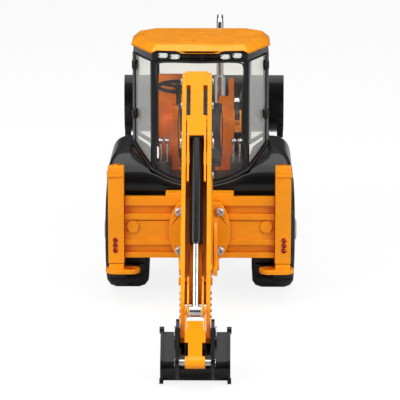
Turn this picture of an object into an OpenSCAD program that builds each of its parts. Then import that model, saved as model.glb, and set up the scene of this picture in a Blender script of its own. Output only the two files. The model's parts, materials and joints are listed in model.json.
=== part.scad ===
// Toy backhoe loader, about 1:32. Millimetres. +X is the machine's right side seen from behind,
// +Y points forward to the loader shovel, +Z is up. Origin: on the ground under the rear axle centre.

/* [Wheels] */
// rear tyre outside diameter
rear_tyre_d = 48; // [46:0.5:49]
// rear tyre width
rear_tyre_w = 17.5; // [15:0.5:17.5]
// front tyre outside diameter
front_tyre_d = 34; // [31:0.5:35]
// front tyre width
front_tyre_w = 12; // [10:0.5:12.5]
// front axle distance ahead of the rear axle
wheelbase = 68; // [67:0.5:70]

/* [Cab] */
// half the cab's greatest width, at the side windows
cab_half = 28; // [26:0.5:29]
// half the width of the flat rear window wall
cab_rear_half = 19.4; // [17:0.2:20]
// height of the cab's upper edge above the ground
cab_top = 97.7; // [92:0.1:99]
// height of the roof panel above the lamp band
roof_h = 3.4; // [2.5:0.1:4]

/* [Rear frame] */
// half the distance over the two stabiliser posts
post_half = 36.8; // [36.5:0.1:38]
// height of the top of the side-shift frame
rail_top = 43.7; // [43:0.1:44.5]
// height of the top of the stabiliser posts
post_top = 56.5; // [54:0.5:58]

/* [Backhoe] */
// width over the two long plates of the dipper
dipper_w = 10.8; // [10.6:0.1:11.2]
// bucket width
bucket_w = 25.2; // [22:0.2:28]
// bucket cylinder barrel diameter
bucket_cyl_d = 5; // [4:0.1:5.2]

/* [Loader] */
// shovel width
shovel_w = 73.6; // [68:0.4:76]
// exhaust pipe diameter
exhaust_d = 3; // [2.4:0.1:3.6]

/* [Hidden] */
$fn = 40;

// colours
ORANGE = [1.0, 0.55, 0.05];
DEEP_ORANGE = [0.86, 0.34, 0.05];
BLACK = [0.05, 0.05, 0.055];
DARK = [0.16, 0.16, 0.17];
STEEL = [0.75, 0.75, 0.77];
CHROME = [0.86, 0.87, 0.9];
RUBBER = [0.08, 0.08, 0.08];
GREY = [0.62, 0.62, 0.6];
RED = [0.8, 0.06, 0.05];
CLEAR = [0.75, 0.85, 0.9, 0.4];
WHITE = [0.88, 0.88, 0.85];

fit = 0.05;             // radial running clearance of a pin in its bore

// pivots, as [Y, Z] in the machine's middle plane
slew_y = -39;
boom_foot = [-48, 21];
boom_nose = [-96.4, 79.8];
boom_cyl_base = [-35.5, 46];
boom_cyl_tip = [-60.5, 60];
dipper_cyl_base = [-57, 66];
bucket_pivot = [-137, 19];
lever_pivot = [-130.5, 36];
lever_tip = [-138.5, 27];
link_tip = [-145, 10];
lift_pivot = [36.5, 56];
shovel_pivot = [112, 46];
lift_cyl_base = [39, 42];
lift_cyl_tip = [74, 46];
tilt_cyl_base = [66, 60];
tilt_cyl_tip = [111.5, 57.5];

// the dipper's own directions: s runs down its length, t points outward from the machine
dipper_tilt = 31;
S_DIR = [-sin(dipper_tilt), -cos(dipper_tilt)];
T_DIR = [-cos(dipper_tilt), sin(dipper_tilt)];
function on_dipper(s, t) = boom_nose + s * S_DIR + t * T_DIR;
bucket_cyl_base = on_dipper(-1, 6);
dipper_cyl_tip = on_dipper(-14.5, 1);

rear_r = rear_tyre_d / 2;
front_r = front_tyre_d / 2;
rear_x = 38.8 - rear_tyre_w;      // inner face of a rear tyre
front_x = 36 - front_tyre_w;      // inner face of a front tyre
king_x = 20.5;                    // steering axis, either side
plate_out = dipper_w / 2;         // outer face of a dipper plate
plate_in = 3.9;                   // inner face of a dipper plate
arm_in = 14;                      // loader arm plate, inner and outer faces
arm_out = 16.4;
arm_mid = (arm_in + arm_out) / 2;

// plan of the cab: an octagon, inset by d
quarter_n = [21.4, -8.6] / norm([21.4, 8.6]);
front_n = [9, 8] / norm([9, 8]);
cab_back = -18.4;
cab_front = 31;
function quarter_c(d) = quarter_n * [cab_rear_half, cab_back] - d;
function front_c(d) = front_n * [cab_half, 22] - d;
function cab_half_plan(d) =
    let (y1 = cab_back + d, x1 = (quarter_c(d) - quarter_n[1] * y1) / quarter_n[0],
        x2 = cab_half - d, y2 = (quarter_c(d) - quarter_n[0] * x2) / quarter_n[1],
        y3 = (front_c(d) - front_n[0] * x2) / front_n[1],
        y4 = cab_front - d, x4 = (front_c(d) - front_n[1] * y4) / front_n[0])
    [[x1, y1], [x2, y2], [x2, y3], [x4, y4]];
function mirrored(p) = [for (i = [len(p) - 1:-1:0]) [-p[i][0], p[i][1]]];
function cab_plan(d) = concat(cab_half_plan(d), mirrored(cab_half_plan(d)));

// upper edge of the black body from its side to the middle, as seen from behind, raised by d
function body_edge(d) = [for (x = [28:-2:0]) [x, 46.9 + d + 13.8 * pow(x / 28, 2.1)]];

// a plate standing in the Y-Z plane between x0 and x1
module yz(x0, x1, points) {
    translate([x0, 0, 0])
        rotate([90, 0, 90])
            linear_extrude(x1 - x0)
                polygon(points);
}

// a plate facing along Y between y0 and y1, drawn in X-Z
module xz(y0, y1, points) {
    translate([0, y1, 0])
        rotate([90, 0, 0])
            linear_extrude(y1 - y0)
                polygon(points);
}

// a round bar along X between x0 and x1, centred on p = [Y, Z]
module xbar(r, x0, x1, p) {
    translate([x0, p[0], p[1]])
        rotate([0, 90, 0])
            cylinder(r = r, h = x1 - x0);
}

module both() {
    children();
    mirror([1, 0, 0])
        children();
}

module block(x0, x1, y0, y1, z0, z1) {
    translate([x0, y0, z0])
        cube([x1 - x0, y1 - y0, z1 - z0]);
}

// children drawn with +Y running from point a to point b of the Y-Z plane
module along(a, b) {
    translate([0, a[0], a[1]])
        rotate([atan2(b[1] - a[1], b[0] - a[0]), 0, 0])
            children();
}

module ybar(r, y0, y1, x = 0) {
    translate([x, y1, 0])
        rotate([90, 0, 0])
            cylinder(r = r, h = y1 - y0);
}

// a cylinder barrel: eye of half width w bored for a pin, where asked a thin neck, then the tube as far
// as the gland
module barrel(x, eye_r, w, pin_r, r, length, rod_r, neck = 0) {
    difference() {
        union() {
            translate([x, 0, 0])
                xbar(eye_r, -w, w, [0, 0]);
            if (neck > 0)
                ybar(w * 0.85, eye_r * 0.7, eye_r + neck + 0.1, x);
            ybar(r, neck > 0 ? eye_r + neck : eye_r * 0.7, length, x);
            ybar(r * 0.8, length - 0.1, length + 0.6, x);
        }
        translate([x, 0, 0])
            xbar(pin_r + fit, -w - 1, w + 1, [0, 0]);
        ybar(rod_r + fit, eye_r + neck + 0.6, length + 2, x);
    }
}

// a cylinder rod, drawn from its eye back into the barrel
module rod(x, eye_r, w, r, eye_at, back) {
    translate([x, eye_at, 0])
        xbar(eye_r, -w, w, [0, 0]);
    ybar(r, back, eye_at - eye_r * 0.5, x);
}

// ---------------------------------------------------------------- machine body

module chassis() {
    color(DARK)
        difference() {
            union() {
                block(-10, 10, -20, 84, 20.05, 32);
                block(-12, 12, 84, 90, 22, 38);
                block(-11.5, 11.5, 43, 84, 31.9, 40);
                block(-17.8, 17.8, 31.9, 41.3, 24, 28.8);
                block(-17.5, 17.5, -20, -15, 24, 31.9);
            }
            xbar(3.5 + fit, -30, 30, [0, rear_r]);
            yz(-9, -2, [[4, 19], [56, 19], [56, 23], [4, 23]]);
            yz(2, 9, [[4, 19], [56, 19], [56, 23], [4, 23]]);
        }
}

// black tub and mudguards in one moulding
module rear_body() {
    section = concat([[0, 32], [37.9, 32], [38, 44], [37.9, 50], [37.4, 53.6], [36.3, 56.6],
        [34.4, 58.6], [31.4, 60.3]], body_edge(0));
    side = [[-20, 32], [-20, 47], [-19.4, 51], [-16.5, 55], [-11, 58.6], [-4, 60.8], [4, 61.4],
        [16, 61.2], [22, 59], [27, 54], [29.5, 47], [30, 38], [30, 32]];
    color(BLACK)
        difference() {
            intersection() {
                both()
                    xz(-25, 35, section);
                yz(-40, 40, side);
            }
            both()
                xbar(rear_r + 1.8, 20, 39, [0, rear_r]);
            difference() {
                translate([0, 0, 45])
                    linear_extrude(20)
                        polygon(cab_plan(2.2));
                both()
                    xbar(rear_r + 3.4, 19, 39, [0, rear_r]);
            }
            block(-30, 30, 29.4, 40, 47, 70);
        }
}

module bonnet() {
    side = [[31.9, 40], [88, 40], [88.6, 50], [87.6, 56], [84, 59.6], [60, 64.4], [40, 66], [31.9, 66]];
    section = [[0, 39], [12.2, 39], [12.2, 61], [11.4, 63.6], [9.4, 65.4], [6, 66.1], [0, 66.3]];
    color(ORANGE)
        difference() {
            intersection() {
                yz(-13, 13, side);
                both()
                    xz(30, 90, section);
            }
            both()
                yz(11.6, 13, [[52, 43.9], [81, 43.9], [81, 55.1], [52, 57.1]]);
            translate([7.7, 50, 60])
                cylinder(r = exhaust_d / 2 + fit, h = 10);
        }
}

module grille() {
    color(BLACK) {
        difference() {
            block(-10.6, 10.6, 88.6, 90, 40.2, 55);
            for (z = [41.6:2:53])
                block(-9.4, 9.4, 89.5, 91, z, z + 1);
        }
        both()
            difference() {
                yz(11.65, 12.4, [[52.2, 44.1], [80.8, 44.1], [80.8, 54.9], [52.2, 56.9]]);
                for (y = [54:3:79])
                    block(12.1, 13, y, y + 1.6, 45.4, 53.6);
            }
    }
}

// clearance volume of the window openings
module window_space() {
    difference() {
        union() {
            block(-cab_rear_half + 2, cab_rear_half - 2, -30, -14, 40, cab_top - 0.5);
            block(-17.8, 17.8, 26, 40, 40, cab_top - 0.5);
            both() {
                block(20, 40, 6, 20.4, 40, cab_top - 0.5);
                translate([cab_rear_half, cab_back, 0])
                    rotate([0, 0, atan2(21.4, 8.6)])
                        block(2, 20.4, -3, 3, 40, cab_top - 0.5);
                translate([cab_half, 22, 0])
                    rotate([0, 0, atan2(9, -8)])
                        block(1.4, 10.2, -3, 3, 40, cab_top - 0.5);
            }
        }
        both()
            xz(-40, 40, concat([[0, 0], [40, 0], [40, 62.45]], body_edge(1.75)));
    }
}

module cab_frame() {
    color(BLACK)
        difference() {
            translate([0, 0, 44])
                linear_extrude(cab_top - 44)
                    difference() {
                        polygon(cab_plan(0));
                        polygon(cab_plan(1.6));
                    }
            both()
                xz(-40, 40, concat([[0, 0], [40, 0], [40, 60.75]], body_edge(0.05)));
            window_space();
            block(-40, 40, 31.2, 50, 0, 200);
        }
}

module cab_glass() {
    color(CLEAR)
        intersection() {
            translate([0, 0, 44])
                linear_extrude(cab_top - 44)
                    difference() {
                        polygon(cab_plan(0.5));
                        polygon(cab_plan(1.2));
                    }
            window_space();
        }
}

module roof() {
    color(ORANGE)
        difference() {
            hull() {
                translate([0, 0, cab_top + 2.9])
                    linear_extrude(0.9)
                        polygon(cab_plan(-0.5));
                translate([0, 0, cab_top + 2.9 + roof_h - 0.2])
                    linear_extrude(0.2)
                        polygon(cab_plan(2.6));
                translate([0, 6, cab_top + 2.9 + roof_h - 0.1])
                    linear_extrude(0.4)
                        square([34, 30], center = true);
            }
            lamp_brows(cab_back - 2, cab_back + 2.35, 0.05);
            lamp_brows(cab_front - 2.35, cab_front + 2, 0.05);
        }
}

// the notch in the roof's rim over each pair of lamps
module lamp_brows(y0, y1, grow) {
    outer = cab_rear_half - 0.2 + grow;
    z = cab_top + 2.8;
    both()
        xz(y0, y1, [[7.4 - grow, z], [outer, z], [outer - 0.7, z + 0.8 + grow],
            [outer - 1.9, z + 1.25 + grow], [9.8 - grow, z + 1.1 + grow], [8.4 - grow, z + 0.7 + grow]]);
}

// the black ring between the windows and the roof panel; the lamps sit in its pockets
module lamp_band() {
    color(BLACK)
        difference() {
            union() {
                translate([0, 0, cab_top])
                    linear_extrude(2.9)
                        polygon(cab_plan(0.4));
                lamp_brows(cab_back + 0.4, cab_back + 2.3, 0);
                lamp_brows(cab_front - 2.3, cab_front - 0.4, 0);
            }
            lamp_shapes(0.05);
            translate([0, 0, cab_top - 1])
                linear_extrude(2.4)
                    polygon(cab_plan(6));
        }
}

module lamp_shape(x, z, y0, y1, grow) {
    xz(y0, y1, [[x - 1, z - 1 - grow], [x + 1, z - 1 - grow], [x + 1, z + 1 + grow],
        [x - 1, z + 1 + grow]]);
    for (k = [-1, 1])
        translate([x + k, y1, z])
            rotate([90, 0, 0])
                cylinder(r = 1 + grow, h = y1 - y0, $fn = 24);
}

// the outer lamp of each pair sits a little higher
module lamp_shapes(grow) {
    both()
        for (lamp = [[10.1, 1.6], [14.9, 2.1]]) {
            lamp_shape(lamp[0], cab_top + lamp[1], cab_back + 0.1, cab_back + 2, grow);
            lamp_shape(lamp[0], cab_top + lamp[1], cab_front - 2, cab_front - 0.1, grow);
        }
}

module work_lamps() {
    color(WHITE)
        lamp_shapes(0);
}

// floor, dashboard with its tall cowl on the left, column housing and right front post
module cab_interior() {
    color(DEEP_ORANGE) {
        translate([0, 0, 45.05])
            linear_extrude(1.4)
                polygon([[-17, -15.4], [17, -15.4], [18.4, -10], [18.4, 26], [16, 28.6],
                    [-16, 28.6], [-18.4, 26], [-18.4, -10]]);
        yz(-15, 13.8, [[23, 46.4], [28.8, 46.4], [28.8, 67], [25, 69.4], [22.4, 66]]);
        yz(-18, -8, [[24, 46.4], [28.6, 46.4], [28.6, 82], [27, 84.8], [25.2, 84.8], [24, 82.4]]);
        yz(7.4, 13.6, [[23.6, 60], [28.6, 60], [28.6, 74.6], [26, 75.6], [24, 73]]);
        yz(11.5, 13.7, [[25, 46.4], [28.4, 46.4], [28.4, 82], [27.4, 83], [25.8, 82]]);
        yz(-12, -6, [[17.5, 46.4], [24, 46.4], [24, 70], [19, 73.5], [13.6, 73.5], [13.6, 71.4],
            [17.5, 62]]);
    }
}

lever_rows = [-16.2, -13.6, 13.6, 16.2];

// seat plinth and the two side consoles, bored for the levers
module seat_base() {
    color(BLACK)
        difference() {
            union() {
                block(-17.4, 17.4, -5, 8, 46.5, 47.5);
                block(-6, 6, -5, 8, 46.5, 52);
                block(-8.5, 8.5, -7, 9.5, 52, 53.4);
                both()
                    yz(12.2, 17.4, [[-9, 46.5], [13, 46.5], [12, 52], [6, 54], [-8.4, 54]]);
            }
            for (x = lever_rows)
                translate([x, -5.5, 50])
                    cylinder(r = 0.45 + fit, h = 10, $fn = 20);
        }
}

module seat_cushion() {
    color(DARK) {
        yz(-9.5, 9.5, [[-4.4, 53.5], [10, 53.5], [10.8, 55], [10, 57.6], [-4.4, 57]]);
        yz(-10, 10, [[-8.6, 53.6], [-4.5, 53.6], [-4.6, 60], [-6.4, 79.2], [-7.6, 80.4], [-9.6, 79.6],
            [-9.8, 60]]);
    }
}

// wheel and column, canted toward the seat
module steering_wheel() {
    color(BLACK)
        translate([-9.4, 15.4, 73.5])
            rotate([5, 0, 0]) {
                rotate_extrude($fn = 48)
                    translate([8.3, 8, 0])
                        circle(r = 0.8, $fn = 20);
                translate([0, 0, 7.4])
                    cylinder(r = 2, h = 1.2);
                for (a = [30, 150, 270])
                    rotate([0, 0, a])
                        translate([0, -0.6, 7.5])
                            cube([8.3, 1.2, 0.9]);
                translate([0, 0, 0.3])
                    cylinder(r = 1, h = 7.2);
            }
}

module control_levers() {
    color(STEEL)
        for (x = lever_rows)
            translate([x, -5.5, 50.2]) {
                cylinder(r = 0.45, h = 11.6, $fn = 20);
                translate([0, 0, 12.4])
                    sphere(r = 1.2, $fn = 24);
            }
}

// stack with a muffler sleeve, its narrower outlet bent forward
module exhaust() {
    outlet_r = exhaust_d / 2 - 0.15;
    color(CHROME)
        translate([7.7, 50, 60.2])
            union() {
                cylinder(r = exhaust_d / 2, h = 43.6);
                translate([0, 0, 5.9])
                    cylinder(r = exhaust_d / 2 + 0.8, h = 14);
                translate([0, 2.6, 43.3])
                    rotate([90, 0, -90])
                        rotate_extrude(angle = 60)
                            translate([2.6, 0])
                                circle(r = outlet_r);
            }
}

// two hinge lugs on each rear quarter, just behind the door post
module door_hinges() {
    lug_r = 1.3;
    at = [cab_rear_half, cab_back] + 16.4 * [8.6, 21.4] / norm([8.6, 21.4])
        + (lug_r + 0.03) * quarter_n;
    color(BLACK)
        both()
            for (z = [73.6, 93.8])
                translate([at[0], at[1], z]) {
                    translate([0, 0, -1.1])
                        cylinder(r = lug_r, h = 2.2, $fn = 28);
                    for (end = [-1.1, 1.1])
                        translate([0, 0, end])
                            sphere(r = lug_r, $fn = 28);
                }
}

module rear_axle() {
    color(DARK) {
        difference() {
            xbar(3.5, -19.8, 19.8, [0, rear_r]);
            xbar(1, -20, 20, [0, rear_r]);
        }
        both()
            xbar(2.4, 19.8, rear_x + rear_tyre_w - 2.5, [0, rear_r]);
    }
}

module front_axle() {
    color(DARK) {
        block(-18.2, 18.2, wheelbase - 3.5, wheelbase + 3.5, 14.5, 19.5);
        block(-5, 5, wheelbase - 3, wheelbase + 3, 19.4, 20.05);
        both() {
            block(17, 18.3, wheelbase - 3, wheelbase + 3, 12.8, 21.2);
            for (z = [12.8, 19.7])
                translate([0, wheelbase, z]) {
                    translate([king_x, 0, 0])
                        cylinder(r = 2.2, h = 1.5);
                    translate([18, -2.2, 0])
                        cube([king_x - 18, 4.4, 1.5]);
                }
            translate([king_x, wheelbase, 12.4])
                cylinder(r = 1.2, h = 9.2);
        }
    }
}

// ---------------------------------------------------------------- rear frame

module side_shift_frame() {
    color(ORANGE)
        difference() {
            union() {
                block(-30.3, 30.3, -27.8, -24.6, 18.6, rail_top);
                block(-13.7, 13.7, -27.8, -22, rail_top - 0.1, rail_top + 1.7);
                block(-17.5, 17.5, -24.7, -20.05, 22, 41);
                block(-9.4, 9.4, -24.7, -20.05, 20.05, 22.1);
            }
            block(-40, 40, -30, -26.3, 36.9, 40.2);
            block(-40, 40, -30, -26.3, 20.9, 23.9);
            difference() {
                block(-40, 40, -30, -27.2, 26.2, 34.4);
                both()
                    translate([26.9, -26, 31.4])
                        rotate([90, 0, 0])
                            cylinder(r = 2.6, h = 6);
            }
        }
}

module stabiliser_posts() {
    color(ORANGE)
        both() {
            difference() {
                union() {
                    block(30.4, post_half, -30, -24.5, 16.6, post_top);
                    block(30.4, post_half + 0.4, -30.3, -24.5, 52.4, 54.4);
                }
                block(31.5, post_half - 1.1, -29, -25.4, 10, post_top - 2.5);
            }
            translate([post_half - 3.2, -27.2, post_top - 0.1])
                cylinder(r = 1.2, h = 0.9);
        }
}

module reflectors() {
    color(RED)
        both()
            for (z = [22.2, 24.35, 26.5])
                translate([34, -30, z])
                    rotate([90, 0, 0])
                        cylinder(r = 0.95, h = 0.5, $fn = 28);
}

module stabiliser_leg() {
    color(ORANGE) {
        block(31.8, post_half - 1.4, -28.8, -25.6, 14.2, 50);
        difference() {
            union() {
                translate([28.1, -27.6, 12.5])
                    cylinder(r = 4, h = 1.8);
                translate([34.1, -27.6, 12.5])
                    cylinder(r = 4, h = 1.8);
                block(28.1, 34.1, -31.6, -23.6, 12.5, 14.3);
            }
            translate([27.4, -27.6, 13.6])
                cylinder(r = 2.4, h = 2);
        }
        yz(30.6, post_half - 0.2, [[-30.4, 14.2], [-24.6, 14.2], [-24.8, 16.5], [-29.8, 16.5]]);
    }
}

module stabiliser_leg_left() {
    mirror([1, 0, 0])
        stabiliser_leg();
}

module stabiliser_leg_right() {
    stabiliser_leg();
}

module carriage() {
    color(ORANGE)
        difference() {
            union() {
                intersection() {
                    block(-13, 13, -30.8, -28, 19, 42);
                    translate([-6.5, -25, 30.5])
                        rotate([90, 0, 0])
                            cylinder(r = 18.9, h = 10, $fn = 96);
                    translate([6.5, -25, 30.5])
                        rotate([90, 0, 0])
                            cylinder(r = 18.9, h = 10, $fn = 96);
                }
                block(-8, 8, -28.1, -26.6, 37.1, 40);
                block(-8, 8, -28.1, -26.6, 21.1, 23.7);
                translate([0, slew_y, 38])
                    cylinder(r = 5, h = 4);
                block(-5, 5, slew_y, -30, 38, 42);
                translate([0, slew_y, 14])
                    cylinder(r = 5, h = 4);
                block(-5, 5, slew_y, -30, 14, 18);
                block(-6.6, 6.6, -36, -28.2, 14, 18);
                block(-6.6, 6.6, -30.8, -28.2, 17.9, 20);
            }
            translate([0, slew_y, 10])
                cylinder(r = 2.5 + fit, h = 40);
            for (x = [-8.1, 8.1], z = [22.5, 38.5])
                translate([x, -20, z])
                    rotate([90, 0, 0])
                        cylinder(r = 1.05, h = 20);
        }
}

module carriage_screws() {
    color(STEEL)
        for (x = [-8.1, 8.1], z = [22.5, 38.5])
            translate([x, -30.8, z])
                rotate([90, 0, 0])
                    difference() {
                        union() {
                            cylinder(r = 1.8, h = 0.7);
                            cylinder(r1 = 1.7, r2 = 1.2, h = 1.1);
                            translate([0, 0, -2.6])
                                cylinder(r = 1, h = 2.7);
                        }
                        translate([-1.2, -0.25, 0.5])
                            cube([2.4, 0.5, 2]);
                        translate([-0.25, -1.2, 0.5])
                            cube([0.5, 2.4, 2]);
                    }
}

// ---------------------------------------------------------------- backhoe

module kingpost() {
    color(ORANGE) {
        difference() {
            union() {
                translate([0, slew_y, 18.2])
                    cylinder(r = 5.2, h = 19.6);
                block(-7.3, 7.3, -43.4, -37, 19, 37.4);
                both()
                    yz(5.75, 7.3, [[-43, 18.8], [-48, 16.4], [-51.2, 17.4], [-52.6, 20.4],
                        [-52, 23.6], [-46.5, 34], [-43, 37.4]]);
            }
            xbar(4.6, -5.7, 5.7, boom_foot);
        }
        translate([0, slew_y, 13.2])
            cylinder(r = 2.5, h = 29.3);
        translate([0, slew_y, 42.2])
            cylinder(r = 5, h = 1.2);
        xbar(1.7, -7.2, 7.2, boom_foot);
        both() {
            xbar(2.3, 7.3, 8, boom_foot);
            yz(2.7, 4, [[-42, 42.3], [-34.2, 42.3], [-33.2, 45], [-34, 48], [-36, 48.8], [-38.4, 48],
                [-42, 44.4]]);
        }
        xbar(1, -3.9, 3.9, boom_cyl_base);
    }
}

module boom() {
    side = [[-45, 18.4], [-44.1, 20], [-45.4, 24.4], [-51.3, 41], [-54.5, 54], [-53.9, 63],
        [-54.4, 68], [-58, 69.9], [-66, 78], [-78, 84.3], [-92.5, 84.2], [-96.4, 83.2],
        [-99, 81.9], [-99.7, 79.2], [-98.4, 76.9], [-96, 76.4], [-86, 76], [-76, 72], [-69, 62],
        [-63, 46], [-57, 30], [-51.6, 18.6], [-48.6, 16.8]];
    trough = [[-40, 31], [-55, 31], [-60.8, 46.8], [-66.9, 62.8], [-74.4, 73.8], [-85, 78],
        [-87.5, 79], [-89, 90], [-40, 90]];
    color(ORANGE)
        difference() {
            intersection() {
                yz(-5.5, 5.5, side);
                both()
                    xz(-120, -20, [[0, 10], [5.5, 10], [5.5, 57], [3.7, 66], [3.7, 90], [0, 90]]);
            }
            yz(-2.6, 2.6, trough);
            xbar(1.7 + fit, -6, 6, boom_foot);
            xbar(1.5 + fit, -6, 6, boom_nose);
            xbar(1 + fit, -6, 6, dipper_cyl_base);
        }
}

module boom_pins() {
    color(STEEL) {
        xbar(1, -4.6, 4.6, dipper_cyl_base);
        both() {
            xbar(1.6, 4.05, 4.65, dipper_cyl_base);
            xbar(1.3, 5.2, 5.9, boom_cyl_tip);
        }
    }
}

module dipper_frame() {
    translate([0, boom_nose[0], boom_nose[1]])
        rotate([atan2(S_DIR[1], S_DIR[0]), 0, 0])
            mirror([0, 0, 1])
                children();
}

// drawn with Y = s (down the dipper) and Z = t (outward)
module dipper() {
    side = [[-25.5, 2], [-25, 7.4], [-22.5, 9.2], [62, 9.2], [69, 7.2], [76, 6.5], [77.2, 3.5],
        [76, 0.4], [73, -0.8], [62, 0], [12, 0.2], [5, -3.2], [2, -4], [-2, -4], [-6, -2.6],
        [-14, -2.2], [-18, -1.6]];
    color(ORANGE)
        difference() {
            dipper_frame()
                union() {
                    both() {
                        yz(plate_in, plate_out, side);
                        block(plate_out - 0.1, plate_out + 0.6, 49.6, 51.4, 1, 9.2);
                        block(2.75, 3.5, -7.5, 18, 7.4, 9.5);
                        block(3.4, plate_in + 0.1, -7.5, -5.4, 7.4, 9.1);
                    }
                    block(-plate_in - 0.1, plate_in + 0.1, -25, -19.5, 4.5, 9);
                    block(-2.35, 2.35, -20, -7, 6.6, 9.1);
                    block(-3.5, 3.5, -7.5, 0.3, 8.75, 9.5);
                    block(-plate_in - 0.1, plate_in + 0.1, 8.5, 62, 0.1, 0.6);
                    block(-2.3, 2.3, 42, 61.5, 0.5, 1.3);
                }
            xbar(1.5 + fit, -6, 6, boom_nose);
            xbar(1 + fit, -6, 6, bucket_cyl_base);
            xbar(1.1 + fit, -7, 7, lever_pivot);
            xbar(1.4 + fit, -7, 7, bucket_pivot);
        }
}

module dipper_pins() {
    color(STEEL) {
        xbar(1.5, -plate_out, plate_out, boom_nose);
        xbar(1, -plate_out, plate_out, bucket_cyl_base);
        both() {
            xbar(1.9, plate_out, plate_out + 0.9, boom_nose);
            xbar(1.3, plate_out, plate_out + 0.5, bucket_cyl_base);
            xbar(1.3, plate_out, plate_out + 0.7, dipper_cyl_tip);
            xbar(1.3, plate_out, plate_out + 0.7, on_dipper(-22, 6));
            xbar(1.4, plate_in, 7.6, bucket_pivot);
            xbar(2, 7.05, 7.7, bucket_pivot);
            for (s = [58.5:2.2:68])
                xbar(0.55, plate_out, plate_out + 0.4, on_dipper(s, 3.2));
        }
    }
}

hinge_dir = [-0.664, -0.747];     // down the bucket's hinge plate
hinge_nrm = [-0.747, 0.664];      // out of the bucket's hinge plate
bucket_lip = bucket_pivot - 2.5 * hinge_dir - 5.2 * hinge_nrm;
bucket_end = bucket_lip + 11.5 * hinge_dir;
bucket_c = bucket_end - 5 * hinge_nrm;
function arc(c, r, a0, a1, n) = [for (i = [0:n]) c + r * [cos(a0 + (a1 - a0) * i / n),
    sin(a0 + (a1 - a0) * i / n)]];

module bucket() {
    half = bucket_w / 2;
    a0 = 138.4;
    shell_out = concat([bucket_lip], arc(bucket_c, 5, a0, 270, 12), [[-118, bucket_c[1] - 4.8]]);
    shell_in = concat([[-118, bucket_c[1] - 3.8]], arc(bucket_c, 3.9, 270, a0, 12),
        [bucket_lip - 1.1 * hinge_nrm]);
    cheek = concat([bucket_lip + [0.9, 1.1], bucket_lip + [-0.7, 0.6]],
        arc(bucket_c, 5.9, a0, 236, 10), [[-136.6, 0.25], [-118.4, 0.35], [-117.6, 2.2],
        [-120.6, 8.4], [-127.2, 15.8]]);
    ear = concat(arc(bucket_pivot, 4.6, 30, 150, 8), arc(link_tip, 3.2, 130, 200, 6),
        [[-143.6, 3.2], [-140.6, 2.2], [-139.2, 2.4], [-139.6, 7], [-136.4, 11.8],
        [-132.4, 16.4]]);
    color(BLACK)
        difference() {
            union() {
                yz(-half + 0.5, half - 0.5, concat(shell_out, shell_in));
                both() {
                    yz(half - 1.1, half, cheek);
                    xbar(1.3, half - 1.3, half + 0.4, bucket_lip + [0.3, 0.5]);
                    xbar(1.1, half - 1.1, half + 0.3, [-139.4, 1.35]);
                    yz(5.65, 6.9, ear);
                }
            }
            both() {
                xbar(1.4 + fit, 5, 8, bucket_pivot);
                xbar(1.2 + fit, 5, 8, link_tip);
            }
        }
}

module bucket_teeth() {
    color(GREY)
        for (x = [-10, -5, 0, 5, 10])
            yz(x - 1, x + 1, [[-118, bucket_c[1] - 4.7], [-113.4, bucket_c[1] - 4.3],
                [-113.4, bucket_c[1] - 4], [-118, bucket_c[1] - 2.9]]);
}

module bucket_pin() {
    color(STEEL) {
        xbar(1.2, -7.2, 7.2, link_tip);
        both()
            xbar(1.7, 6.95, 7.4, link_tip);
    }
}

module tipping_levers() {
    color(STEEL)
        both() {
            along(lever_pivot, lever_tip) {
                xbar(2, 2.25, 3, [0, 0]);
                xbar(2.2, 2.25, 3, [norm(lever_tip - lever_pivot), 0]);
                block(2.25, 3, 0, norm(lever_tip - lever_pivot), -1.6, 1.6);
            }
            xbar(1.1, 2.9, plate_out + 0.2, lever_pivot);
            xbar(1.5, plate_out + 0.1, plate_out + 0.7, lever_pivot);
            xbar(1, 2.9, 3.85, lever_tip);
        }
}

module bucket_link() {
    reach = norm(link_tip - lever_tip);
    color(ORANGE)
        difference() {
            along(lever_tip, link_tip) {
                block(-2.9, 2.9, 3.45, 6.8, -1.3, 1.3);
                block(-3.75, 3.75, 6.6, 11.3, -1.3, 1.3);
                block(-2.5, 2.5, 11, reach - 1, -1.3, 1.3);
                xbar(2.3, -3.65, 3.65, [reach, 0]);
                both() {
                    block(3.1, 3.75, 0, 7, -1.3, 1.3);
                    xbar(1.9, 3.1, 3.75, [0, 0]);
                }
            }
            xbar(1 + fit, -4, 4, lever_tip);
            xbar(1.2 + fit, -4, 4, link_tip);
        }
}

bucket_cyl_len = norm(lever_tip - bucket_cyl_base);
dipper_cyl_len = norm(dipper_cyl_tip - dipper_cyl_base);
boom_cyl_len = norm(boom_cyl_tip - boom_cyl_base);
lift_cyl_len = norm(lift_cyl_tip - lift_cyl_base);
tilt_cyl_len = norm(tilt_cyl_tip - tilt_cyl_base);

module bucket_cylinder_barrel() {
    color(BLACK)
        along(bucket_cyl_base, lever_tip)
            barrel(0, 2.5, 2.5, 1, bucket_cyl_d / 2, 42, 1.3);
}

module bucket_cylinder_rod() {
    color(CHROME)
        along(bucket_cyl_base, lever_tip)
            rod(0, 2, 2.1, 1.3, bucket_cyl_len, 30);
}

module dipper_cylinder_barrel() {
    color(BLACK)
        along(dipper_cyl_base, dipper_cyl_tip)
            barrel(0, 2.4, 2.3, 1, 2.1, 30, 1.1);
}

module dipper_cylinder_rod() {
    color(CHROME)
        along(dipper_cyl_base, dipper_cyl_tip)
            rod(0, 2, 2.3, 1.1, dipper_cyl_len, 12);
}

module boom_cylinder_barrel() {
    color(BLACK)
        along(boom_cyl_base, boom_cyl_tip)
            barrel(0, 2.2, 2.3, 1, 2.2, 15.4, 1.1);
}

module boom_cylinder_rod() {
    color(CHROME)
        along(boom_cyl_base, boom_cyl_tip)
            rod(0, 2.1, 2.3, 1.1, boom_cyl_len, 10.8);
}

// ---------------------------------------------------------------- loader

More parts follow.
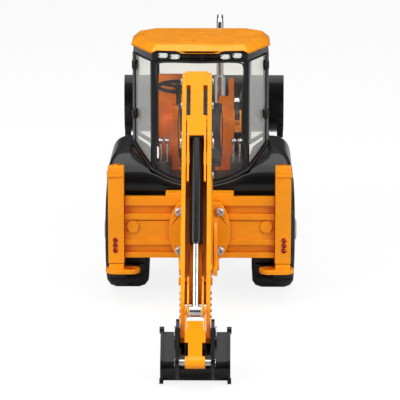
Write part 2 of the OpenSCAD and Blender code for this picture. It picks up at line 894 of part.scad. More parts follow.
module loader_towers() {
    color(BLACK)
        both() {
            difference() {
                yz(12.4, 17.8, [[31.9, 28.8], [41.3, 28.8], [42.2, 40], [41.4, 52], [40, 58.4],
                    [38, 60.4], [34.6, 60.4], [31.9, 57.6]]);
                yz(13.5, 16.9, [[32.9, 38], [45, 38], [45, 64], [32.9, 64]]);
                xbar(1.4 + fit, 12, 18, lift_pivot);
            }
            xbar(0.9, 13.4, 17, lift_cyl_base);
        }
}

module side_tanks() {
    color(BLACK)
        both()
            difference() {
                block(10, 17, 42.6, 50, 13, 24);
                for (y = [43.8, 46.8])
                    block(16.4, 18, y, y + 1.8, 14.6, 22.4);
            }
}

module loader_arm() {
    difference() {
        yz(arm_in, arm_out, concat(arc(lift_pivot, 3.4, 95, 262, 10), [[58, 51], [70, 49.8], [80, 46.4],
            [98, 43.6]],
            arc(shovel_pivot, 2.8, -95, 85, 8), [[100, 50.6], [62, 56]]));
        xbar(1.2 + fit, 12, 18, shovel_pivot);
        xbar(4.4, 12, 18, lift_cyl_tip);
    }
    for (x = [[arm_in - 0.6, arm_in + 0.05], [arm_out - 0.05, arm_out + 0.6]]) {
        yz(x[0], x[1], concat(arc(lift_cyl_tip, 2.2, 180, 360, 8), [[79, 49.4], [79, 53.4],
            [69, 54.6], [69, 50.4]]));
        yz(x[0], x[1], concat(arc(tilt_cyl_base, 2, 0, 180, 8), [[61.5, 55.6], [62, 51.8],
            [71, 50.5], [71, 54.4]]));
    }
    xbar(0.9, arm_in - 0.1, arm_out + 0.1, tilt_cyl_base);
    xbar(1.4, 12.5, 18.2, lift_pivot);
}

// two arms, their lugs and pivot pins, and the cross tube between them
module loader_arms() {
    color(ORANGE)
        union() {
            both()
                loader_arm();
            block(-arm_in - 0.5, arm_in + 0.5, 101.6, 105.4, 44.6, 49.4);
        }
}

module lift_cylinder_barrels() {
    color(BLACK)
        both()
            along(lift_cyl_base, lift_cyl_tip)
                barrel(arm_mid, 1.9, 1.2, 0.9, 1.4, 23.4, 0.8);
}

module lift_cylinder_rods() {
    color(CHROME)
        both()
            along(lift_cyl_base, lift_cyl_tip)
                rod(arm_mid, 1.8, 1.1, 0.8, lift_cyl_len, 11);
}

module tilt_cylinder_barrels() {
    color(BLACK)
        both()
            along(tilt_cyl_base, tilt_cyl_tip)
                barrel(arm_mid, 1.9, 1.1, 0.9, 1.5, 34, 0.9, 1.2);
}

module tilt_cylinder_rods() {
    color(CHROME)
        both()
            along(tilt_cyl_base, tilt_cyl_tip)
                rod(arm_mid, 1.9, 1.1, 0.9, tilt_cyl_len, 16);
}

module shovel() {
    half = shovel_w / 2;
    outer = [[119, 68.6], [116.4, 66.4], [114.8, 62], [114.4, 52], [115.2, 47], [117.6, 43.4],
        [121.4, 41.4], [139, 41]];
    inner = [[139, 42], [121.8, 42.9], [118.8, 44.6], [116.8, 47.6], [116, 52], [116.4, 61.6],
        [117.6, 65.4], [119.6, 67.2]];
    cheek = [[115, 62], [114.6, 52], [115.4, 47], [117.8, 43.5], [121.5, 41.5], [138.6, 41.1],
        [138.8, 43.4], [131, 55.6], [120.6, 67.6], [118.6, 68.3], [116.6, 66.2]];
    color(BLACK)
        difference() {
            union() {
                yz(-half, half, concat(outer, inner));
                both() {
                    yz(half - 1.2, half, cheek);
                    block(half - 3, half - 0.2, 115.2, 119, 39.9, 45.5);
                    for (x = [12.6, 16.6])
                        yz(x, x + 1.2, concat(arc(tilt_cyl_tip, 2, 90, 180, 5),
                            arc(shovel_pivot, 2.6, 180, 270, 5), [[117, 43.8], [115.2, 62]]));
                    xbar(1.2, 12.8, 17.6, shovel_pivot);
                }
                block(-half, half, 135, 139.6, 40.6, 42.1);
            }
        }
}

// ---------------------------------------------------------------- steering and wheels

module knuckle() {
    color(DARK)
        difference() {
            union() {
                translate([king_x, wheelbase, 14.45])
                    cylinder(r = 2.1, h = 5.1);
                xbar(1.5, king_x, front_x + front_tyre_w - 2, [wheelbase, front_r]);
            }
            translate([king_x, wheelbase, 10])
                cylinder(r = 1.2 + fit, h = 20);
        }
}

module knuckle_left() {
    mirror([1, 0, 0])
        knuckle();
}

module knuckle_right() {
    knuckle();
}

// rim turned about Z, from its inner face at 0 to its outer face at w
module rim(w, seat, bore, hub) {
    color(GREY)
        difference() {
            rotate_extrude($fn = 72)
                polygon([[bore, w * 0.3], [hub, w * 0.3], [hub, w * 0.45], [seat - 1.6, w * 0.42],
                    [seat - 1.6, 0.6], [seat + 0.6, 0.6], [seat + 0.6, 1.4], [seat, 2],
                    [seat, w - 2], [seat + 0.6, w - 1.4], [seat + 0.6, w - 0.6],
                    [seat - 1.2, w - 0.6], [seat - 2, w * 0.62], [hub + 1, w * 0.56],
                    [hub, w * 0.6], [hub, w + 0.4], [hub - 1, w + 1], [bore, w + 1]]);
            for (a = [0:45:315])
                rotate([0, 0, a])
                    translate([(hub + seat - 1) / 2, 0, 0])
                        cylinder(r = seat * 0.09, h = w, $fn = 20);
        }
}

// tyre with block lugs: each half is the round section cut to a ring of teeth
module tyre(r, w, seat, lug, count) {
    color(RUBBER)
        for (k = [0, 1])
            intersection() {
                rotate_extrude($fn = 72)
                    polygon([[seat + fit, 2.1], [seat + 0.7, 1.6], [seat + 0.8, 0.5],
                        [seat + 2.4, 0], [r - 2.6, 0.3], [r - 0.8, 1.6], [r, 4], [r, w - 4],
                        [r - 0.8, w - 1.6], [r - 2.6, w - 0.3], [seat + 2.4, w],
                        [seat + 0.8, w - 0.5], [seat + 0.7, w - 1.6], [seat + fit, w - 2.1]]);
                translate([0, 0, k * w / 2])
                    rotate([0, 0, k * 180 / count])
                        linear_extrude(w / 2)
                            union() {
                                circle(r = r - lug, $fn = 72);
                                for (a = [0:360 / count:359])
                                    rotate([0, 0, a])
                                        translate([r / 2, 0])
                                            square([r + 2, PI * r / count], center = true);
                            }
            }
}

// a wheel part placed at x, seen from its own side of the machine
module on_axle(side, x, y, z) {
    translate([side * x, y, z])
        rotate([0, side * 90, 0])
            children();
}

module rear_rim(side) {
    on_axle(side, rear_x, 0, rear_r)
        rim(rear_tyre_w, 13.6, 2.4 + fit, 4.6);
}

module rear_tyre(side) {
    on_axle(side, rear_x, 0, rear_r)
        tyre(rear_r, rear_tyre_w, 13.6, 1.7, 18);
}

module front_rim(side) {
    on_axle(side, front_x, wheelbase, front_r)
        rim(front_tyre_w, 9.2, 1.5 + fit, 3.2);
}

module front_tyre(side) {
    on_axle(side, front_x, wheelbase, front_r)
        tyre(front_r, front_tyre_w, 9.2, 1.2, 16);
}

module rim_rear_left() {
    rear_rim(-1);
}

module rim_rear_right() {
    rear_rim(1);
}

module rim_front_left() {
    front_rim(-1);
}

module rim_front_right() {
    front_rim(1);
}

module tyre_rear_left() {
    rear_tyre(-1);
}

module tyre_rear_right() {
    rear_tyre(1);
}

module tyre_front_left() {
    front_tyre(-1);
}

module tyre_front_right() {
    front_tyre(1);
}

chassis();
rear_body();
bonnet();
grille();
cab_frame();
cab_glass();
roof();
lamp_band();
work_lamps();
cab_interior();
seat_base();
seat_cushion();
steering_wheel();
control_levers();
exhaust();
door_hinges();
rear_axle();
front_axle();
side_shift_frame();
stabiliser_posts();
reflectors();
loader_towers();
side_tanks();
carriage();
carriage_screws();
kingpost();
boom();
boom_pins();
dipper();
dipper_pins();
bucket();
bucket_teeth();
bucket_pin();
tipping_levers();
bucket_link();
bucket_cylinder_barrel();
bucket_cylinder_rod();
dipper_cylinder_barrel();
dipper_cylinder_rod();
boom_cylinder_barrel();
boom_cylinder_rod();
stabiliser_leg_left();
stabiliser_leg_right();
loader_arms();
lift_cylinder_barrels();
lift_cylinder_rods();
shovel();
tilt_cylinder_barrels();
tilt_cylinder_rods();
knuckle_left();
knuckle_right();
rim_rear_left();
rim_rear_right();
rim_front_left();
rim_front_right();
tyre_rear_left();
tyre_rear_right();
tyre_front_left();
tyre_front_right();
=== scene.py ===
import json
import math

import bmesh
import bpy
import numpy as np
from mathutils import Matrix, Vector


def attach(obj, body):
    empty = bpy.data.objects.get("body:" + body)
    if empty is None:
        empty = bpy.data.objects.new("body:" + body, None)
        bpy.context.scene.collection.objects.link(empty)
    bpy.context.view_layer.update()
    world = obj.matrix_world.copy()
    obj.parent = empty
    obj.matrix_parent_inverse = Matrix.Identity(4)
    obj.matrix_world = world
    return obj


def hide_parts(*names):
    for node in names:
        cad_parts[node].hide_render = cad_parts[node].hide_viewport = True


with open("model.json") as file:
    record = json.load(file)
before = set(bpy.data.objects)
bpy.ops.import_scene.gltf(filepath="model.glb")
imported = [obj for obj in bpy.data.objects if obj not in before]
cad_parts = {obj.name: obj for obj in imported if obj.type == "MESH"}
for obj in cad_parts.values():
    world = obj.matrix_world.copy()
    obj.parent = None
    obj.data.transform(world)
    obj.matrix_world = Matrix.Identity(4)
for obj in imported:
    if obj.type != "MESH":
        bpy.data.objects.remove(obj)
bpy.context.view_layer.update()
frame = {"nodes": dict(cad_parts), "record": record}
nodes = frame["nodes"]
MM = 0.001


# ------------------------------------------------------------------ materials

class Shader:
    """A node material with a Principled shader, and short calls that add to it. Lengths are in metres."""

    def __init__(self, name, **values):
        self.material = bpy.data.materials.new(name)
        self.material.use_nodes = True
        self.tree = self.material.node_tree
        self.tree.nodes.clear()
        self.output = self.add("ShaderNodeOutputMaterial")
        self.bsdf = self.add("ShaderNodeBsdfPrincipled")
        self.join(self.bsdf.outputs[0], self.output.inputs["Surface"])
        self.coords = self.add("ShaderNodeTexCoord").outputs["Object"]
        for key, value in values.items():
            self.bsdf.inputs[key.replace("_", " ")].default_value = value

    def add(self, kind, **values):
        node = self.tree.nodes.new(kind)
        for key, value in values.items():
            setattr(node, key, value)
        return node

    def join(self, out, into):
        self.tree.links.new(out, into)
        return out

    def set(self, key, out):
        return self.join(out, self.bsdf.inputs[key])

    def stretched(self, x, y, z):
        node = self.add("ShaderNodeVectorMath", operation="MULTIPLY")
        self.join(self.coords, node.inputs[0])
        node.inputs[1].default_value = (x, y, z)
        return node.outputs[0]

    def noise(self, size, detail=3.0, stretch=None, rough=0.5):
        node = self.add("ShaderNodeTexNoise")
        self.join(self.stretched(*stretch) if stretch else self.coords, node.inputs["Vector"])
        node.inputs["Scale"].default_value = 1 / size
        node.inputs["Detail"].default_value = detail
        node.inputs["Roughness"].default_value = rough
        return node.outputs["Fac"]

    def cells(self, size):
        node = self.add("ShaderNodeTexVoronoi")
        self.join(self.coords, node.inputs["Vector"])
        node.inputs["Scale"].default_value = 1 / size
        return node.outputs["Distance"]

    def span(self, fac, low, high, a=0.0, b=1.0):
        node = self.add("ShaderNodeMapRange")
        self.join(fac, node.inputs["Value"])
        for key, value in zip(("From Min", "From Max", "To Min", "To Max"), (low, high, a, b)):
            node.inputs[key].default_value = value
        return node.outputs[0]

    def sum(self, a, b, operation="ADD"):
        node = self.add("ShaderNodeMath", operation=operation, use_clamp=True)
        self.join(a, node.inputs[0])
        if isinstance(b, float):
            node.inputs[1].default_value = b
        else:
            self.join(b, node.inputs[1])
        return node.outputs[0]

    def mix(self, fac, a, b):
        node = self.add("ShaderNodeMix", data_type="RGBA")
        self.join(fac, node.inputs["Factor"])
        for key, value in ((6, a), (7, b)):
            if isinstance(value, tuple):
                node.inputs[key].default_value = (*value, 1)
            else:
                self.join(value, node.inputs[key])
        return node.outputs[2]

    def edges(self, radius):
        """White along convex and concave edges, out to about radius."""
        bevel = self.add("ShaderNodeBevel", samples=6)
        bevel.inputs["Radius"].default_value = radius
        geometry = self.add("ShaderNodeNewGeometry")
        dot = self.add("ShaderNodeVectorMath", operation="DOT_PRODUCT")
        self.join(bevel.outputs[0], dot.inputs[0])
        self.join(geometry.outputs["Normal"], dot.inputs[1])
        return self.span(dot.outputs["Value"], 0.995, 0.9)

    def painted_shade_mask(self, distance):
        """White where a surface is shut in by others nearer than distance: the mask for painted shade in
        hollows.
        """
        node = self.add("ShaderNodeAmbientOcclusion", samples=6)
        node.inputs["Distance"].default_value = distance
        return self.span(node.outputs["AO"], 0.75, 0.2)

    def bump(self, height, depth, strength=1.0, soften=0.0):
        node = self.add("ShaderNodeBump")
        self.join(height, node.inputs["Height"])
        node.inputs["Distance"].default_value = depth
        node.inputs["Strength"].default_value = strength
        if soften:
            bevel = self.add("ShaderNodeBevel", samples=6)
            bevel.inputs["Radius"].default_value = soften
            self.join(bevel.outputs[0], node.inputs["Normal"])
        self.set("Normal", node.outputs[0])


def enamel(name, colour, painted_shade_colour, worn, coat=0.16, rough=0.32):
    """Thick glossy paint on metal: slight orange peel, darker in the hollows as painted shade, and lighter
    on the edges, partly thinner paint and partly a painted highlight.
    """
    s = Shader(name, Coat_Weight=coat, Coat_Roughness=0.06, IOR=1.45, Specular_IOR_Level=0.3)
    base = s.mix(s.span(s.noise(9 * MM, 4), 0.35, 0.7), colour, tuple(c * 0.9 for c in colour))
    # Painted shade: the colour is darkened in the hollows, where shade falls.
    base = s.mix(s.painted_shade_mask(4 * MM), base, painted_shade_colour)
    # Edges lightened towards the edge colour: partly wear, partly a painted highlight.
    wear_and_highlight = s.sum(s.edges(0.22 * MM), s.span(s.noise(1.6 * MM, 5), 0.5, 0.72), "MULTIPLY")
    s.set("Base Color", s.mix(wear_and_highlight, base, worn))
    s.set("Roughness", s.span(s.noise(5 * MM, 5), 0.3, 0.7, rough * 0.8, rough * 1.35))
    s.bump(s.noise(0.9 * MM, 2), 0.012 * MM, 0.5, soften=0.2 * MM)
    return s.material


def gloss_plastic(name, colour, rough=0.16, dust=(0.1, 0.1, 0.105)):
    """Shiny moulded plastic with faint flow marks, fine hairline scratches and a little dust."""
    s = Shader(name, Coat_Weight=0.25, Coat_Roughness=0.04, IOR=1.45, Specular_IOR_Level=0.3)
    base = s.mix(s.span(s.noise(7 * MM, 3), 0.3, 0.75), colour, tuple(c * 1.5 + 0.001 for c in colour))
    s.set("Base Color", s.mix(s.span(s.noise(0.7 * MM, 6, rough=0.7), 0.64, 0.9, 0, 0.16), base, dust))
    scratch = s.span(s.noise(1.2 * MM, 6, (1, 0.12, 1), 0.75), 0.55, 0.8, 0, 0.12)
    s.set("Roughness", s.sum(s.span(s.noise(4 * MM, 4), 0.3, 0.7, rough * 0.7, rough * 1.4), scratch))
    s.bump(s.noise(2.2 * MM, 3), 0.02 * MM, 0.35, soften=0.22 * MM)
    return s.material


def satin_plastic(name, colour, rough=0.5, grain=0.35):
    """Moulded plastic with a fine spark-eroded grain."""
    s = Shader(name, IOR=1.46)
    base = s.mix(s.span(s.noise(6 * MM, 4), 0.3, 0.7), colour, tuple(c * 1.35 + 0.004 for c in colour))
    # Painted highlight: every edge is painted lighter than the face.
    s.set("Base Color", s.mix(s.edges(0.2 * MM), base, tuple(c * 1.8 + 0.02 for c in colour)))
    s.set("Roughness", s.span(s.noise(3 * MM, 4), 0.3, 0.7, rough * 0.85, rough * 1.2))
    s.bump(s.noise(grain * MM, 3), 0.02 * MM, 0.6, soften=0.2 * MM)
    return s.material


def metal(name, colour, rough, stretch=(1, 1, 1), painted_shade_strength=0.3):
    """Bare metal with drawn lines along stretch, with painted shade darkening its corners."""
    s = Shader(name, Metallic=1.0)
    base = s.mix(s.span(s.noise(3 * MM, 5), 0.35, 0.7), colour, tuple(c * 0.86 for c in colour))
    # Painted shade: the colour darkens in the corners, where shade falls.
    s.set("Base Color", s.mix(s.sum(s.painted_shade_mask(2 * MM), painted_shade_strength, "MULTIPLY"), base, (0.08, 0.07, 0.06)))
    lines = s.noise(0.5 * MM, 4, stretch)
    s.set("Roughness", s.sum(s.span(s.noise(2 * MM, 4), 0.3, 0.7, rough * 0.7, rough * 1.3),
                             s.span(lines, 0.5, 0.8, 0, 0.08)))
    s.bump(lines, 0.008 * MM, 0.5, soften=0.18 * MM)
    return s.material


def tyre_rubber():
    s = Shader("tyre_rubber", IOR=1.45)
    base = s.mix(s.span(s.noise(5 * MM, 5), 0.3, 0.7), (0.006, 0.006, 0.0065), (0.014, 0.014, 0.0145))
    s.set("Base Color", s.mix(s.sum(s.edges(0.3 * MM), s.span(s.noise(2 * MM, 6), 0.4, 0.75), "MULTIPLY"),
                              base, (0.06, 0.058, 0.055)))
    s.set("Roughness", s.span(s.noise(3 * MM, 5), 0.3, 0.7, 0.42, 0.62))
    s.bump(s.noise(0.4 * MM, 4), 0.03 * MM, 0.7, soften=0.3 * MM)
    return s.material


def vinyl():
    """Soft grained seat covering."""
    s = Shader("seat_vinyl", IOR=1.45, Sheen_Weight=0.2, Sheen_Roughness=0.4)
    worn = s.span(s.noise(2.5 * MM, 4), 0.3, 0.7)
    s.set("Base Color", s.mix(worn, (0.008, 0.008, 0.009), (0.02, 0.02, 0.022)))
    s.set("Roughness", s.span(s.noise(1.4 * MM, 4), 0.3, 0.7, 0.4, 0.58))
    s.bump(s.cells(0.45 * MM), 0.05 * MM, 0.5, soften=0.2 * MM)
    return s.material


def lens(name, colour, rib):
    """Moulded lens with fine ribs."""
    s = Shader(name, Coat_Weight=0.8, Coat_Roughness=0.04, IOR=1.5)
    wave = s.add("ShaderNodeTexWave")
    s.join(s.coords, wave.inputs["Vector"])
    wave.inputs["Scale"].default_value = 1 / rib
    wave.inputs["Distortion"].default_value = 0.3
    ribs = s.span(wave.outputs["Fac"], 0, 1, 0.1, 0.75)
    s.set("Base Color", s.mix(ribs, colour, tuple(c * 0.7 for c in colour)))
    s.set("Roughness", s.span(s.noise(1 * MM, 3), 0.3, 0.7, 0.1, 0.22))
    s.bump(wave.outputs["Fac"], 0.06 * MM, 0.5, soften=0.15 * MM)
    return s.material


def window():
    """Clear moulded window: mostly see-through, brighter at a glance, with faint streaks."""
    s = Shader("window", Roughness=0.03, IOR=1.5)
    s.set("Base Color", s.mix(s.span(s.noise(12 * MM, 3), 0.3, 0.7), (0.9, 0.92, 0.9), (0.82, 0.85, 0.84)))
    s.set("Roughness", s.span(s.noise(3 * MM, 5), 0.4, 0.8, 0.02, 0.1))
    clear = s.add("ShaderNodeBsdfTransparent")
    clear.inputs[0].default_value = (0.96, 0.955, 0.935, 1)
    blend = s.add("ShaderNodeMixShader")
    rim = s.add("ShaderNodeLayerWeight")
    rim.inputs["Blend"].default_value = 0.35
    haze = s.span(s.noise(9 * MM, 5), 0.4, 0.8, 0.01, 0.05)
    s.join(s.sum(s.span(rim.outputs["Facing"], 0.2, 1, 0.0, 0.6), haze), blend.inputs[0])
    s.join(clear.outputs[0], blend.inputs[1])
    s.join(s.bsdf.outputs[0], blend.inputs[2])
    s.join(blend.outputs[0], s.output.inputs["Surface"])
    return s.material


ORANGE = (0.95, 0.32, 0.002)
MATERIALS = {
    # For each enamel the third colour is its painted shade in the hollows and the fourth its edge colour,
    # partly wear and partly painted highlight.
    "orange_paint": enamel("orange_paint", ORANGE, (0.62, 0.075, 0.003), (0.98, 0.42, 0.08)),
    "orange_plastic": gloss_plastic("orange_plastic", (0.96, 0.22, 0.006), 0.3, (0.9, 0.35, 0.08)),
    "gloss_black": gloss_plastic("gloss_black", (0.0035, 0.0035, 0.004)),
    "matte_black": satin_plastic("matte_black", (0.009, 0.009, 0.0095)),
    "seat_vinyl": vinyl(),
    # The last number of a metal, 0.3 unless given, is the strength of its painted shade in the corners.
    "steel": metal("steel", (0.7, 0.7, 0.72), 0.28),
    "chrome": metal("chrome", (0.74, 0.745, 0.75), 0.14, (1, 0.2, 0.2), 0.3),
    "lamp_lens": lens("lamp_lens", (0.72, 0.74, 0.7), 3 * MM),
    "red_lens": lens("red_lens", (0.6, 0.012, 0.01), 1.2 * MM),
    "window": window(),
    "grey_paint": enamel("grey_paint", (0.42, 0.42, 0.41), (0.15, 0.15, 0.15), (0.6, 0.6, 0.6), 0.3, 0.4),
    "tyre": tyre_rubber(),
}

for row in frame["record"]["subparts"]:
    mesh = nodes[row["node"]].data
    mesh.materials.clear()
    mesh.materials.append(MATERIALS[row["material_slot"]])


# ------------------------------------------------------------------ pieces

def add_object(name, data, material, body):
    obj = bpy.data.objects.new(name, data)
    bpy.context.scene.collection.objects.link(obj)
    data.materials.clear()
    data.materials.append(MATERIALS[material])
    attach(obj, body)
    return obj


def apply_modifiers(obj):
    """Swaps the object's mesh for what its modifiers make of it."""
    graph = bpy.context.evaluated_depsgraph_get()
    made = bpy.data.meshes.new_from_object(obj.evaluated_get(graph), depsgraph=graph)
    obj.modifiers.clear()
    obj.data = made
    return made


def shade(mesh, angle=35):
    """Smooth shading, with edges sharper than the angle kept crisp."""
    mesh.shade_smooth()
    mesh.set_sharp_from_angle(angle=math.radians(angle))


def moulded(node, body, material, voxel, passes, faces):
    """A moulded or cast copy of a CAD node: the same outside shape with its corners rounded over."""
    obj = add_object(node + "_moulding", nodes[node].data.copy(), material, body)
    weld = obj.modifiers.new("weld", "WELD")
    weld.merge_threshold = 0.002 * MM
    remesh = obj.modifiers.new("remesh", "REMESH")
    remesh.mode, remesh.voxel_size = "VOXEL", voxel * MM
    smooth = obj.modifiers.new("smooth", "SMOOTH")
    smooth.factor, smooth.iterations = 0.5, passes
    apply_modifiers(obj)
    thin = obj.modifiers.new("thin", "DECIMATE")
    thin.ratio = min(1.0, faces / max(1, len(obj.data.polygons)))
    apply_modifiers(obj)
    shade(obj.data, 60)
    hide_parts(node)
    return obj


def curve_tube(name, points, radius, material, body, closed=False, resolution=3):
    """A round bead or hose along points."""
    data = bpy.data.curves.new(name, "CURVE")
    data.dimensions, data.bevel_depth, data.bevel_resolution = "3D", radius, resolution
    data.use_fill_caps = True
    spline = data.splines.new("BEZIER")
    spline.bezier_points.add(len(points) - 1)
    for knot, point in zip(spline.bezier_points, points):
        knot.co = point
        knot.handle_left_type = knot.handle_right_type = "AUTO"
    spline.use_cyclic_u = closed
    return add_object(name, data, material, body)


SIM_SCALE = 10      # cushions are simulated ten times larger, a size the cloth solver handles well


def puffed(name, size, voxel=5, cap=9):
    """A sewn pad: a block with rounded edges, blown up as cloth. size in mm."""
    shape = bmesh.new()
    bmesh.ops.create_cube(shape, size=1)
    for v in shape.verts:
        v.co = Vector((v.co.x * size[0], v.co.y * size[1], v.co.z * size[2])) * (MM * SIM_SCALE)
    mesh = bpy.data.meshes.new(name)
    shape.to_mesh(mesh)
    shape.free()
    pad = bpy.data.objects.new(name, mesh)
    bpy.context.scene.collection.objects.link(pad)
    round_over = pad.modifiers.new("round", "BEVEL")
    round_over.width, round_over.segments = min(size) * 0.3 * MM * SIM_SCALE, 4
    remesh = pad.modifiers.new("remesh", "REMESH")
    remesh.mode, remesh.voxel_size = "VOXEL", voxel * MM
    apply_modifiers(pad)
    start = np.array([v.co for v in pad.data.vertices])
    cloth = pad.modifiers.new("cloth", "CLOTH")
    cloth.settings.use_pressure = True
    cloth.settings.uniform_pressure_force = 4
    cloth.settings.effector_weights.gravity = 0
    cloth.point_cache.frame_start, cloth.point_cache.frame_end = 1, 20
    for step in range(1, 21):
        bpy.context.scene.frame_set(step)
    apply_modifiers(pad)
    bpy.context.scene.frame_set(1)
    moved = np.array([v.co for v in pad.data.vertices]) - start
    length = np.linalg.norm(moved, axis=1, keepdims=True)
    moved *= np.minimum(1, cap * MM / np.maximum(length, 1e-9))
    start = start + moved
    return pad, start


def finish_pad(pad, points, place, tilt, body, channels):
    """Sews the channels in, sets the pad in place and rounds it with one subdivision."""
    points = points / SIM_SCALE
    half = np.abs(points).max(0)
    for x, depth, width in channels:
        groove = np.exp(-((points[:, 0] / MM - x) / width) ** 2) * depth * MM
        points[:, 2] -= groove * np.sign(points[:, 2]) * (np.abs(points[:, 2]) > half[2] * 0.3)
    turn = np.array(Matrix.Rotation(math.radians(tilt), 3, "X"))
    points = points @ turn.T + np.array(place) * MM
    pad.data.vertices.foreach_set("co", points.astype(np.float32).ravel())
    pad.data.update()
    rounder = pad.modifiers.new("round", "SUBSURF")
    rounder.levels = rounder.render_levels = 1
    apply_modifiers(pad)
    pad.data.materials.clear()
    pad.data.materials.append(MATERIALS["seat_vinyl"])
    shade(pad.data, 80)
    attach(pad, body)
    return pad


def piping(name, size, place, tilt, lift, body):
    """The bead sewn round a pad's edge, a rounded rectangle lift above its middle."""
    turn = Matrix.Rotation(math.radians(tilt), 3, "X")
    a, b = size[0] / 2, size[1] / 2
    knots = []
    for k in range(40):
        angle = 2 * math.pi * k / 40
        c, s = math.cos(angle), math.sin(angle)
        p = Vector((a * math.copysign(abs(c) ** 0.4, c), b * math.copysign(abs(s) ** 0.4, s), lift))
        knots.append((turn @ p + Vector(place)) * MM)
    return curve_tube(name, knots, 0.22 * MM, "seat_vinyl", body, closed=True)


def driver_seat():
    """Seat pad and back rest, puffed and sewn, with piping round the front edges."""
    pad, points = puffed("seat_pad", (17.6, 13.4, 3.2))
    pad = finish_pad(pad, points, (0, 3.1, 55.4), 2, "machine", [(-4.2, 0.5, 0.7), (4.2, 0.5, 0.7)])
    back, points = puffed("seat_back", (18.2, 24.6, 3.4))
    finish_pad(back, points, (0, -6.9, 67.0), 96, "machine", [(-4.6, 0.5, 0.7), (4.6, 0.5, 0.7)])
    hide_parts("seat_cushion")
    piping("seat_pad_piping", (17.5, 13.3), (0, 3.1, 55.4), 2, 0.9, "machine")
    piping("seat_back_piping", (18.1, 24.5), (0, -6.9, 67.0), 96, 0.9, "machine")


def shading_group(angle):
    """Geometry nodes that shade smooth, with edges sharper than the angle kept crisp."""
    group = bpy.data.node_groups.new("soft_shading", "GeometryNodeTree")
    for way in ("INPUT", "OUTPUT"):
        group.interface.new_socket("Geometry", in_out=way, socket_type="NodeSocketGeometry")
    start, end = group.nodes.new("NodeGroupInput"), group.nodes.new("NodeGroupOutput")
    faces, sharp = (group.nodes.new("GeometryNodeSetShadeSmooth") for _ in range(2))
    sharp.domain = "EDGE"
    sharp.inputs["Shade Smooth"].default_value = False
    bend = group.nodes.new("GeometryNodeInputMeshEdgeAngle")
    above = group.nodes.new("FunctionNodeCompare")
    above.operation = "GREATER_THAN"
    above.inputs[1].default_value = math.radians(angle)
    link = group.links.new
    link(start.outputs[0], faces.inputs["Geometry"])
    link(faces.outputs[0], sharp.inputs["Geometry"])
    link(bend.outputs[0], above.inputs[0])
    link(above.outputs[0], sharp.inputs["Selection"])
    link(sharp.outputs[0], end.inputs[0])
    return group


# nodes with small faces, whose bevel is held to what each face has room for
DELICATE = {"bucket_cylinder_barrel", "shovel", "lift_cylinder_barrels", "lift_cylinder_rods", "bucket",
            "tilt_cylinder_barrels", "tilt_cylinder_rods", "boom_cylinder_barrel", "boom_cylinder_rod",
            "dipper_cylinder_barrel", "dipper_cylinder_rod", "bucket_cylinder_rod", "dipper", "exhaust",
            "steering_wheel", "cab_interior", "loader_arms"}


def crisp(node, width):
    """Real rounded edges on a CAD node, by modifiers only."""
    obj = nodes[node]
    weld = obj.modifiers.new("weld", "WELD")
    weld.merge_threshold = 0.002 * MM
    bevel = obj.modifiers.new("bevel", "BEVEL")
    bevel.limit_method, bevel.angle_limit = "ANGLE", math.radians(38)
    bevel.width, bevel.segments = width * MM, 2
    bevel.use_clamp_overlap = node in DELICATE
    obj.modifiers.new("shading", "NODES").node_group = SOFT_SHADING
    level = obj.modifiers.new("level", "WEIGHTED_NORMAL")
    level.keep_sharp, level.weight = True, 80


SOFT_SHADING = shading_group(32)
USUAL_WIDTH = 0.25      # bevel width in mm
WIDTHS = {"cab_frame": 0.3, "roof": 0.5, "stabiliser_posts": 0.4, "side_shift_frame": 0.22, "carriage": 0.3,
          "bonnet": 0.5, "lamp_band": 0.15, "reflectors": 0.3, "work_lamps": 0.3, "cab_glass": 0.1,
          "carriage_screws": 0.12, "tyre_rear_left": 0.35, "tyre_rear_right": 0.35,
          "tyre_front_left": 0.3, "tyre_front_right": 0.3}


def cab_edge(x):
    """Height in mm of the black body's upper edge at x, which the cab stands on."""
    middle, rise, half_width, steepness = 46.9, 13.8, 28, 2.1
    return middle + rise * min(1.0, abs(x) / half_width) ** steepness


def seals():
    """Rubber bead where the cab meets the body, and the gasket round the rear window."""
    side = [(28.1, y) for y in (20, 15, 10, 5)]
    quarter = [(28.1 - 8.6 * k / 10, 3 - 21.4 * k / 10) for k in range(1, 10)]
    back = [(19.4 - k * 2.155, -18.5) for k in range(10)]
    right = side + quarter + back
    path = right + [(-x, y) for x, y in reversed(right)]
    curve_tube("cab_bead", [Vector((x, y, cab_edge(x) + 0.1)) * MM for x, y in path], 0.5 * MM,
               "matte_black", "machine")
    low = [(x, cab_edge(x) + 1.9) for x in (-14, -10, -5, 0, 5, 10, 14)]
    loop = [(-17.1, 96.4), (-17.1, 85), (-17.1, 70), (-17.1, 54.5), *low, (17.1, 54.5), (17.1, 70),
            (17.1, 85), (17.1, 96.4), (15.8, 97), (0, 97), (-15.8, 97)]
    curve_tube("rear_window_gasket", [Vector((x, -18.15, z)) * MM for x, z in loop], 0.35 * MM,
               "matte_black", "machine", closed=True)


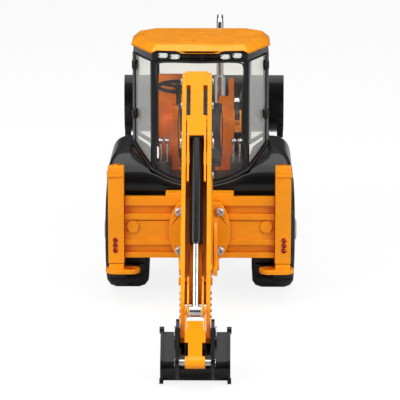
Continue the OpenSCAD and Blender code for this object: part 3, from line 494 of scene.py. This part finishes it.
def roof_marks():
    """Low round and slotted mould marks on top of the roof."""
    shape = bmesh.new()
    for x, y, long in ((0, 13.3, 2.0), (0, -11.6, 0.6), (-14.4, -11.2, 0.6), (14.4, -11.2, 0.6),
                       (-21.2, 12.6, 0.6), (21.2, 12.6, 0.6)):
        z = nodes["roof"].ray_cast(Vector((x, y, 200)) * MM, Vector((0, 0, -1)))[1].z / MM
        rings = []
        for radius, lift in ((0.75, -0.15), (0.75, 0.08), (0.62, 0.16), (0.3, 0.17)):
            ring = []
            for k in range(24):
                a = 2 * math.pi * k / 24
                reach = long - 0.6 if abs(math.cos(a)) > 1e-6 else 0
                ring.append(shape.verts.new(Vector((
                    x + radius * math.cos(a) + math.copysign(reach, math.cos(a)),
                    y + radius * math.sin(a), z + lift)) * MM))
            rings.append(ring)
        for low, high in zip(rings, rings[1:]):
            for k in range(24):
                shape.faces.new((low[k], low[(k + 1) % 24], high[(k + 1) % 24], high[k]))
        shape.faces.new(rings[-1])
        shape.faces.new(list(reversed(rings[0])))
    mesh = bpy.data.meshes.new("roof_marks")
    shape.to_mesh(mesh)
    shape.free()
    shade(mesh, 40)
    add_object("roof_marks", mesh, "orange_plastic", "machine")


roof_marks()
for row in frame["record"]["subparts"]:
    crisp(row["node"], WIDTHS.get(row["node"], USUAL_WIDTH))
moulded("rear_body", "machine", "gloss_black", 0.6, 70, 26000)
seals()
driver_seat()


# ------------------------------------------------------------------ studio

def area_light(name, place, aim, width, height, power, colour=(1, 1, 1)):
    data = bpy.data.lights.new(name, "AREA")
    data.shape, data.size, data.size_y = "RECTANGLE", width, height
    data.energy, data.color = power, colour
    light = bpy.data.objects.new(name, data)
    bpy.context.scene.collection.objects.link(light)
    light.location = place
    light.rotation_euler = (Vector(aim) - Vector(place)).to_track_quat("-Z", "Y").to_euler()


def studio():
    """White backdrop for the camera; for everything else a dim room under a pale ceiling, so that the
    black gloss stays black between the softboxes' highlights."""
    world = bpy.data.worlds.new("studio")
    bpy.context.scene.world = world
    world.use_nodes = True
    tree = world.node_tree
    room, backdrop = tree.nodes["Background"], tree.nodes.new("ShaderNodeBackground")
    coords = tree.nodes.new("ShaderNodeTexCoord")
    split = tree.nodes.new("ShaderNodeSeparateXYZ")
    height = tree.nodes.new("ShaderNodeMapRange")
    ramp = tree.nodes.new("ShaderNodeValToRGB")
    path = tree.nodes.new("ShaderNodeLightPath")
    blend = tree.nodes.new("ShaderNodeMixShader")
    height.inputs["From Min"].default_value = -1
    for position, level in ((0.0, 0.3), (0.45, 0.12), (0.52, 0.05), (0.7, 0.1), (0.95, 0.5)):
        stop = ramp.color_ramp.elements.new(position)
        stop.color = (level, level, level, 1)
    ramp.color_ramp.elements.remove(ramp.color_ramp.elements[0])
    backdrop.inputs["Strength"].default_value = 1.0
    link = tree.links.new
    link(coords.outputs["Generated"], split.inputs[0])
    link(split.outputs["Z"], height.inputs["Value"])
    link(height.outputs[0], ramp.inputs[0])
    link(ramp.outputs[0], room.inputs[0])
    link(path.outputs["Is Camera Ray"], blend.inputs[0])
    link(room.outputs[0], blend.inputs[1])
    link(backdrop.outputs[0], blend.inputs[2])
    link(blend.outputs[0], tree.nodes["World Output"].inputs[0])
    area_light("softbox_left", (-0.85, -0.75, 0.5), (0, 0, 0.05), 0.9, 0.8, 9.5)
    area_light("softbox_right", (0.85, -0.75, 0.45), (0, 0, 0.05), 0.9, 0.8, 8.5)
    area_light("top", (0, -0.1, 0.9), (0, 0, 0.05), 1.1, 1.1, 6.5)

    bpy.ops.mesh.primitive_plane_add(size=12, location=(0, 2, -0.0001))
    floor = bpy.context.object
    floor.name = "floor"
    s = Shader("floor", Roughness=0.9)
    s.set("Base Color", s.mix(s.noise(300 * MM, 2), (0.42, 0.42, 0.42), (0.46, 0.46, 0.46)))
    glow, seen = s.add("ShaderNodeEmission"), s.add("ShaderNodeLightPath")
    glow.inputs["Strength"].default_value = 1.2
    lift = s.add("ShaderNodeMixShader")
    s.join(s.sum(seen.outputs["Is Camera Ray"], 0.72, "MULTIPLY"), lift.inputs[0])
    s.join(s.bsdf.outputs[0], lift.inputs[1])
    s.join(glow.outputs[0], lift.inputs[2])
    s.join(lift.outputs[0], s.output.inputs["Surface"])
    floor.data.materials.append(s.material)

    data = bpy.data.cameras.new("camera")
    data.sensor_width, data.lens = 36, 206.2
    data.clip_start, data.clip_end = 0.01, 50
    camera = bpy.data.objects.new("camera", data)
    bpy.context.scene.collection.objects.link(camera)
    camera.location = (0.0126, -0.927, 0.24695)
    camera.rotation_euler = (math.radians(90 - 12.8), 0, math.radians(0.793))
    bpy.context.scene.camera = camera
    bpy.context.scene.view_settings.view_transform = "Standard"


studio()
